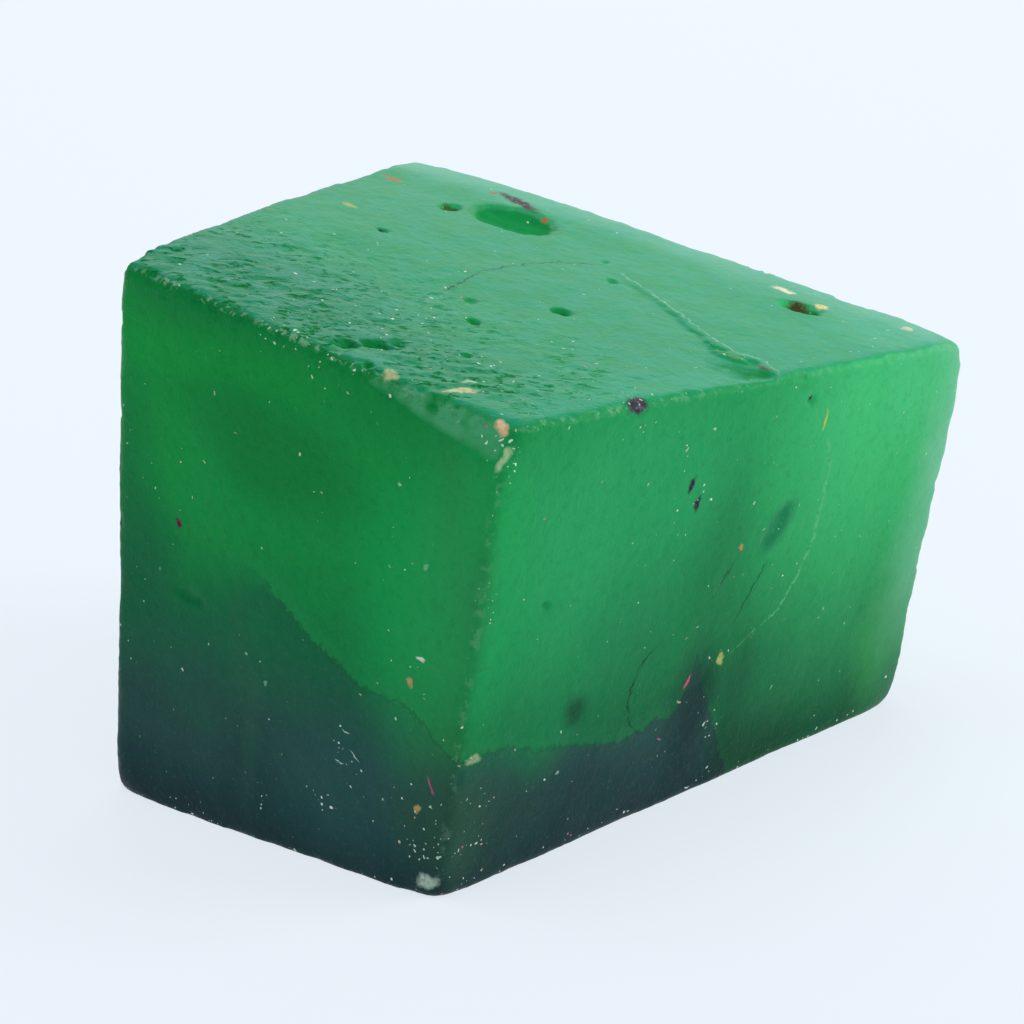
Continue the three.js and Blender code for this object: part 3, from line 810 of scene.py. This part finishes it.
# Object coordinates in mm
place = addNode("TexCoord").outputs["Object"]
point = addNode("VectorMath", {0: place, "Scale": 1 / mm}, operation="SCALE").outputs[0]
strokeTurn = (0, 0, math.radians(surface["strokeHeading"]))
patterns = {}
for name, (scale, detail, strength) in frostedBeryl["patterns"].items():
    at = point
    if name in frostedBeryl["stretched"]:
        grainSize = frostedBeryl["stretched"][name]
        at = addNode("Mapping", {0: point, 2: strokeTurn, 3: grainSize}, vector_type="TEXTURE").outputs[0]
    inputs = {"Vector": at, "Scale": scale, "Detail": detail, "Roughness": strength}
    patterns[name] = addNode("TexNoise", inputs).outputs
frosting, clouds, powder, strokeRelief, paintedSheen = [
    patterns[name][0] for name in ("frosting", "clouds", "powder", "strokes", "paintedSheen")
]
stray = frostedBeryl["stray"]
ragged = addNode(  # strayed a little so that outlines aren't ruled
    "VectorMath", {0: patterns["ruffle"]["Color"], 1: (stray,) * 3, 2: point}, operation="MULTIPLY_ADD"
).outputs[0]
ragged = addNode("VectorMath", {0: ragged, 1: (stray / 2,) * 3}, operation="SUBTRACT").outputs[0]
plainX, plainY, plainZ = addNode("SeparateXYZ", {0: point}).outputs
raggedX, raggedY, raggedZ = addNode("SeparateXYZ", {0: ragged}).outputs
sunk, edge, rough, dusty, facet = [
    addNode("Attribute", attribute_name=name).outputs["Fac"]
    for name in ("sunk", "edge", "rough", "dusty", "facet")
]
stain = addNode("Attribute", attribute_name="stain").outputs

# how far a spot lies below the top of the smoky zone, and how sharp that top is
smokyTop = {
    "limits": (-10, 20),  # mm, below and above all points of its lines
    "frayed": 0.9,  # mm
    "softens": (-5.0, 3.0),  # between these places from front to back
    "softness": (0.15, 7.0),  # mm
    "fade": (-0.4, 0.8),  # in softnesses under the line
    "crisp": (2.5, 0.3, 0.3),  # softness where the rim and fringe begin and are full, and their share
    "fringe": (-1.5, -0.25, 0.35),  # mm where it ends above the line and is full, and its share of crisp
    "rim": (0.2, 0.04),  # mm
}
front = runThrough(raggedX, frostedBeryl["frontLine"], *smokyTop["limits"])
back = runThrough(raggedY, frostedBeryl["backLine"], *smokyTop["limits"])
under = addNode("Math", {0: front, 1: back}, operation="ADD").outputs[0]
under = addNode("Math", {0: under, 1: raggedZ}, operation="SUBTRACT").outputs[0]
under = addNode("Math", {0: frosting, 1: smokyTop["frayed"], 2: under}, operation="MULTIPLY_ADD").outputs[0]
under = addNode("Math", {0: under, 1: frostedBeryl["shared"]}, operation="SUBTRACT").outputs[0]
(begins, full), (least, most) = smokyTop["softens"], smokyTop["softness"]
softness = addNode(
    "MapRange", {0: plainY, 1: begins, 2: full, 3: least, 4: most}, interpolation_type="SMOOTHSTEP"
).outputs[0]
begins, full = smokyTop["fade"]
smoky = addNode("Math", {0: under, 1: softness}, operation="DIVIDE").outputs[0]
smoky = addNode("MapRange", {0: smoky, 1: begins, 2: full}, interpolation_type="SMOOTHSTEP").outputs[0]
begins, full, most = smokyTop["crisp"]
crispness = addNode("MapRange", {0: softness, 1: begins, 2: full, 4: most}).outputs[0]
begins, full, most = smokyTop["fringe"]
fringe = addNode("Math", {0: crispness, 1: most}, operation="MULTIPLY").outputs[0]
fringe = addNode("MapRange", {0: under, 1: begins, 2: full, 4: fringe}).outputs[0]
begins, full = smokyTop["rim"]
rim = addNode("Math", {0: under}, operation="ABSOLUTE").outputs[0]
rim = addNode("MapRange", {0: rim, 1: begins, 2: full, 4: crispness}).outputs[0]

# height for the colours, clouded
lift = frostedBeryl["cloudLift"]
height = addNode("MapRange", {0: clouds, 3: -lift, 4: lift}).outputs[0]
height = addNode("Math", {0: height, 1: plainZ}, operation="ADD").outputs[0]
height = addNode("MapRange", {0: height, 1: 0.0, 2: frostedBeryl["tallest"]}).outputs[0]

# where the surface looks up, the painted glow of light that passes through the thinner end, and that end's
# painted pale rim
thinEnd = {
    "skyward": (0.75, 0.97),  # upward part of the normal
    "litAcross": (0.0, 16.0),  # mm from the middle where the light begins and is full
    "litUp": (1.0, 25.0),
    "litOnTop": 0.15,
    "clouding": 5.0,  # mm that the clouds shift the rim
    "margin": (8.0, 3.0),  # mm from the end
    "marginUp": (3.0, 15.0),
    "marginShare": (0.15, 0.75),
    "onEnd": (0.5, 0.95, 0.3),  # how squarely a spot faces out of that end, and the share left there
}
facing = addNode("TexCoord").outputs["Normal"]
begins, full = thinEnd["skyward"]
skyward = addNode("SeparateXYZ", {0: facing}).outputs["Z"]
skyward = addNode("MapRange", {0: skyward, 1: begins, 2: full}).outputs[0]
overcast = addNode("MapRange", {0: skyward, 3: 1.0, 4: thinEnd["litOnTop"]}).outputs[0]
begins, full = thinEnd["litUp"]
aloft = addNode("MapRange", {0: plainZ, 1: begins, 2: full, 4: overcast}).outputs[0]
begins, full = thinEnd["litAcross"]
# painted glow, high up towards the thinner end and faint on upward faces
lit = addNode(
    "MapRange", {0: plainX, 1: begins, 2: full, 4: aloft}, interpolation_type="SMOOTHSTEP"
).outputs[0]
farNormal, farOut = planes["far"]
fromFar = addNode("VectorMath", {0: ragged, 1: farNormal}, operation="DOT_PRODUCT").outputs["Value"]
fromFar = addNode("Math", {0: farOut + farNormal.dot(middle), 1: fromFar}, operation="SUBTRACT").outputs[0]
shift = {0: clouds, 1: thinEnd["clouding"], 2: fromFar}
fromFar = addNode("Math", shift, operation="MULTIPLY_ADD").outputs[0]
# painted pale glow and haze along the rim of the thinner end, growing towards the top
(begins, full), (least, most) = thinEnd["marginUp"], thinEnd["marginShare"]
hazy = addNode("MapRange", {0: plainZ, 1: begins, 2: full, 3: least, 4: most}).outputs[0]
begins, full = thinEnd["margin"]
margin = addNode(
    "MapRange", {0: fromFar, 1: begins, 2: full, 4: hazy}, interpolation_type="SMOOTHSTEP"
).outputs[0]
begins, full, least = thinEnd["onEnd"]
outFar = addNode("VectorMath", {0: facing, 1: farNormal}, operation="DOT_PRODUCT").outputs["Value"]
outFar = addNode("MapRange", {0: outFar, 1: begins, 2: full, 3: 1.0, 4: least}).outputs[0]
margin = addNode("Math", {0: margin, 1: outFar}, operation="MULTIPLY").outputs[0]

# painted shade: darker green in the hollows and between the rough strokes, where the stone is also rougher;
# painted sheen elsewhere on the top
skinned = {
    "furrow": (0.45, 0.33),  # stroke relief
    "recess": (0.26, 0.42),  # mm under the first surface
    "hollowShade": 0.85,
    "sheenPatches": (0.36, 0.62),
    "sheenShare": (0.16, 0.3),
    "sheenOnRough": 0.75,
}
begins, full = skinned["furrow"]
furrow = addNode("MapRange", {0: strokeRelief, 1: begins, 2: full, 4: rough}).outputs[0]
begins, full = skinned["recess"]
recess = addNode("MapRange", {0: sunk, 1: begins, 2: full}, interpolation_type="SMOOTHSTEP").outputs[0]
recess = addNode("Math", {0: recess, 1: furrow}, operation="MAXIMUM").outputs[0]
# painted shade in the hollows and furrows of the upward faces
hollowShade = addNode("Math", {0: recess, 1: skyward}, operation="MULTIPLY").outputs[0]
hollowShade = addNode("MapRange", {0: hollowShade, 4: skinned["hollowShade"]}).outputs[0]
skin, hollow = frostedBeryl["roughness"]
roughness = addNode("MapRange", {0: recess, 3: skin, 4: hollow}).outputs[0]
bare = addNode("MapRange", {0: recess, 3: skyward, 4: 0.0}).outputs[0]
smooth = addNode("MapRange", {0: rough, 3: 1.0, 4: skinned["sheenOnRough"]}).outputs[0]
bare = addNode("Math", {0: bare, 1: smooth}, operation="MULTIPLY").outputs[0]
# painted sheen in patches on the upward faces, away from the hollows, weaker where the top is rough
(begins, full), (least, most) = skinned["sheenPatches"], skinned["sheenShare"]
paintedSheen = addNode("MapRange", {0: paintedSheen, 1: begins, 2: full, 3: least, 4: most}).outputs[0]
paintedSheen = addNode("Math", {0: paintedSheen, 1: bare}, operation="MULTIPLY").outputs[0]

# pale crumbs along worn edges, most where the top is rough
crumbling = {
    "share": (0.15, 0.95),
    "reach": (0.7, 0.15),  # mm from the edge
    "patches": (0.52, 0.6),
}
least, most = crumbling["share"]
atEdge = addNode("MapRange", {0: rough, 3: least, 4: most}).outputs[0]
begins, full = crumbling["reach"]
atEdge = addNode("MapRange", {0: edge, 1: begins, 2: full, 4: atEdge}).outputs[0]
begins, full = crumbling["patches"]
crumbs = addNode("MapRange", {0: powder, 1: begins, 2: full, 4: atEdge}).outputs[0]

# dust: specks of 0.08 to 0.25 mm, most of them whitish and a few pink, in some places thicker
dust = {
    "places": 2.6,  # to each mm
    "size": (0.1, 0.32),  # least and most radius, in places
    "small": 2.0,  # the higher, the more of them are small
    "offCentre": 0.4,
    "soft": 0.05,
    "share": 0.85,
}
grid = addNode("VectorMath", {0: ragged, "Scale": dust["places"]}, operation="SCALE").outputs[0]
cell = addNode("VectorMath", {0: grid}, operation="FLOOR").outputs[0]
toss = addNode("TexWhiteNoise", {"Vector": cell}).outputs["Color"]
chance = addNode("SeparateColor", {0: toss}).outputs
aside = dust["offCentre"]
centre = addNode("VectorMath", {0: toss, 1: (aside,) * 3, 2: cell}, operation="MULTIPLY_ADD").outputs[0]
centre = addNode("VectorMath", {0: centre, 1: ((1 - aside) / 2,) * 3}, operation="ADD").outputs[0]
away = addNode("VectorMath", {0: grid, 1: centre}, operation="DISTANCE").outputs["Value"]
least, most = dust["size"]
size = addNode("Math", {0: chance[0], 1: dust["small"]}, operation="POWER").outputs[0]
size = addNode("MapRange", {0: size, 3: least, 4: most}).outputs[0]
speck = addNode("Math", {0: size, 1: away}, operation="SUBTRACT").outputs[0]
present = addNode("Math", {0: dusty, 1: chance[1]}, operation="SUBTRACT").outputs[0]
present = addNode("MapRange", {0: present, 1: -dust["soft"], 2: 0.0, 4: dust["share"]}).outputs[0]
speck = addNode("MapRange", {0: speck, 1: 0.0, 2: dust["soft"], 4: present}).outputs[0]

# colour ramps: what each runs along, the place of its last stop, and how it goes between stops
ramps = {}
for name, along, last, way in (
    ("clear", height, frostedBeryl["tallest"], "LINEAR"),
    ("smoky", height, frostedBeryl["tallest"], "LINEAR"),
    ("dust", chance[2], 1, "CONSTANT"),
):
    node = addNode("ValToRGB", {0: along})
    node.color_ramp.interpolation = way
    elements = node.color_ramp.elements
    while len(elements) < len(frostedBeryl[name]):
        elements.new(0.5)
    for element, (level, code) in zip(elements, frostedBeryl[name]):
        element.position = level / last
        element.color = linear(code)
    ramps[name] = node.outputs[0]

# The layers, from the stone up: how much of it is covered, and the colour that covers it
haze = {
    "facet": (0.25, 0.12, 0.62),  # mm under the long chamfer, and the share
    "pale": (0.6, 0.8, 0.07),  # where these begin and are full in their noise, and the share
    "murk": (0.5, 0.3, 0.12),
    "worn": (0.32, 0.44, 0.6),  # least share of a mark, where its colour is worn off
    "thread": (0.34, 0.5, 0.8),
}
# painted sheen on the long chamfer
begins, full, most = haze["facet"]
facet = addNode("MapRange", {0: facet, 1: begins, 2: full, 4: most}).outputs[0]
begins, full, most = haze["pale"]
pale = addNode("MapRange", {0: frosting, 1: begins, 2: full, 4: most}).outputs[0]
begins, full, most = haze["murk"]
murk = addNode("MapRange", {0: powder, 1: begins, 2: full, 4: most}).outputs[0]
begins, full, least = haze["worn"]
worn = addNode("MapRange", {0: frosting, 1: begins, 2: full, 3: least}).outputs[0]
layers = [
    (lit, frostedBeryl["lit"]),
    (fringe, frostedBeryl["fringe"]),
    (smoky, ramps["smoky"]),
    (None, stain),
    (facet, frostedBeryl["veil"]),
    (pale, frostedBeryl["veil"]),
    (murk, frostedBeryl["murk"]),
    (rim, frostedBeryl["outline"]),
    (margin, frostedBeryl["margin"]),
    (hollowShade, frostedBeryl["recess"]),
    (paintedSheen, frostedBeryl["sheenColour"]),
]
onFace = {}
for face in ("top", "front", "end"):
    seat = faceFrame(face)
    onFace[face] = addNode(
        "Mapping", {0: ragged, 1: seat.translation, 2: seat.to_euler()}, vector_type="TEXTURE"
    ).outputs[0]
for face, way, width, line, code in threads:
    parts = addNode("SeparateXYZ", {0: onFace[face]}).outputs
    along, aside = (parts["X"], parts["Y"]) if way == "across" else (parts["Y"], parts["X"])
    path = runThrough(along, line, *outlines["threadLimits"])
    off = addNode("Math", {0: aside, 1: path}, operation="SUBTRACT").outputs[0]
    off = addNode("Math", {0: off}, operation="ABSOLUTE").outputs[0]
    sway = addNode("Math", {0: along, 1: (line[0][0] + line[-1][0]) / 2}, operation="SUBTRACT").outputs[0]
    sway = addNode("Math", {0: sway}, operation="ABSOLUTE").outputs[0]
    half = abs(line[-1][0] - line[0][0]) / 2
    begins, full, most = haze["thread"]
    share = addNode("MapRange", {0: sway, 1: half, 2: half - 1, 4: most}).outputs[0]
    deepEnd, deepFull = outlines["threadDepth"]
    near = addNode("Math", {0: parts["Z"]}, operation="ABSOLUTE").outputs[0]
    share = addNode("MapRange", {0: near, 1: deepEnd, 2: deepFull, 4: share}).outputs[0]
    share = addNode("MapRange", {0: powder, 1: begins, 2: full, 4: share}).outputs[0]
    core = outlines["threadCore"] * width
    layers.append((addNode("MapRange", {0: off, 1: width, 2: core, 4: share}).outputs[0], code))
for face, x, y, halfX, halfY, turn, code in marks:
    spot = onFace[face]
    if turn:
        turned = {"Vector": spot, "Center": (x, y, 0), "Angle": -math.radians(turn)}
        spot = addNode("VectorRotate", turned, rotation_type="Z_AXIS").outputs[0]
    perHalf = (1 / halfX, 1 / halfY, 1 / outlines["markDepth"])
    offset = (-x / halfX, -y / halfY, 0)
    spot = addNode("VectorMath", {0: spot, 1: perHalf, 2: offset}, operation="MULTIPLY_ADD").outputs[0]
    reach = addNode("VectorMath", {0: spot}, operation="LENGTH").outputs["Value"]
    begins, full = outlines["mark"]
    layers.append((addNode("MapRange", {0: reach, 1: begins, 2: full, 4: worn}).outputs[0], code))
layers += [(crumbs, frostedBeryl["crumbs"]), (speck, ramps["dust"])]

colour = ramps["clear"]
for share, over in layers:
    if over is stain:
        colour = addNode("VectorMath", {0: colour, "Scale": stain["Alpha"]}, operation="SCALE").outputs[0]
        colour = addNode("VectorMath", {0: colour, 1: stain["Color"]}, operation="ADD").outputs[0]
        continue
    over = linear(over) if isinstance(over, str) else over
    colour = addNode("Mix", {0: share, 6: colour, 7: over}, data_type="RGBA").outputs[2]

# relief too fine for the mesh, in mm: the rough strokes, and frosting of about 0.05 mm, drawn at 0.3 mm
# so that it shows
fine = frostedBeryl["frostRelief"]
relief = addNode("MapRange", {0: frosting, 3: -fine, 4: fine}).outputs[0]
relief = addNode(
    "Math", {0: furrow, 1: -frostedBeryl["strokeRelief"], 2: relief}, operation="MULTIPLY_ADD"
).outputs[0]
bump = addNode("Bump", {"Strength": 1.0, "Distance": mm, "Height": relief}).outputs[0]

tree.links.new(colour, shader.inputs["Base Color"])
tree.links.new(bump, shader.inputs["Normal"])
tree.links.new(roughness, shader.inputs["Roughness"])
shader.inputs["IOR"].default_value = frostedBeryl["ior"]
shader.inputs["Specular IOR Level"].default_value = frostedBeryl["specular"]

print("floor and light")
studio = {
    "paper": "#eaf1f9",
    "paperBase": (0.24, 0.255, 0.27),  # what is left to the lamps, in linear values
    "paperSize": 6,
    "glow": 0.78,  # share of the paper's brightness that comes through it from below
    "world": (0.62, 0.7, 0.78),
    "strength": 0.5,
    "aim": (0, 0, 0.015),
    "lamps": [  # where, across in m, watts
        ("back softbox", (0.45, 0.40, 0.34), 0.5, 1.2),
        ("top softbox", (-0.12, 0.1, 0.7), 0.5, 1.6),
        ("right fill", (0.5, -0.45, 0.35), 0.5, 2.8),
    ],
}
bpy.ops.object.select_all(action="DESELECT")
bpy.ops.mesh.primitive_plane_add(size=studio["paperSize"])
floor = bpy.context.object
floor.name = "floor"
paper = bpy.data.materials.new("lit white paper")
paper.use_nodes = True
sheet = paper.node_tree.nodes["Principled BSDF"]
sheet.inputs["Base Color"].default_value = (*studio["paperBase"], 1)
sheet.inputs["Roughness"].default_value = 0.9
sheet.inputs["Specular IOR Level"].default_value = 0
sheet.inputs["Emission Color"].default_value = linear(studio["paper"])
sheet.inputs["Emission Strength"].default_value = studio["glow"]
floor.data.materials.append(paper)
for name, spot, size, watts in studio["lamps"]:
    aim = (Vector(studio["aim"]) - Vector(spot)).to_track_quat("-Z", "Y").to_euler()
    bpy.ops.object.light_add(type="AREA", location=spot, rotation=aim)
    lamp = bpy.context.object
    lamp.name = name
    lamp.data.energy = watts
    lamp.data.size = size
world = bpy.data.worlds.new("studio")
bpy.context.scene.world = world
world.use_nodes = True
background = world.node_tree.nodes["Background"]
background.inputs["Color"].default_value = (*studio["world"], 1)
background.inputs["Strength"].default_value = studio["strength"]
bpy.context.scene.view_settings.view_transform = "Standard"
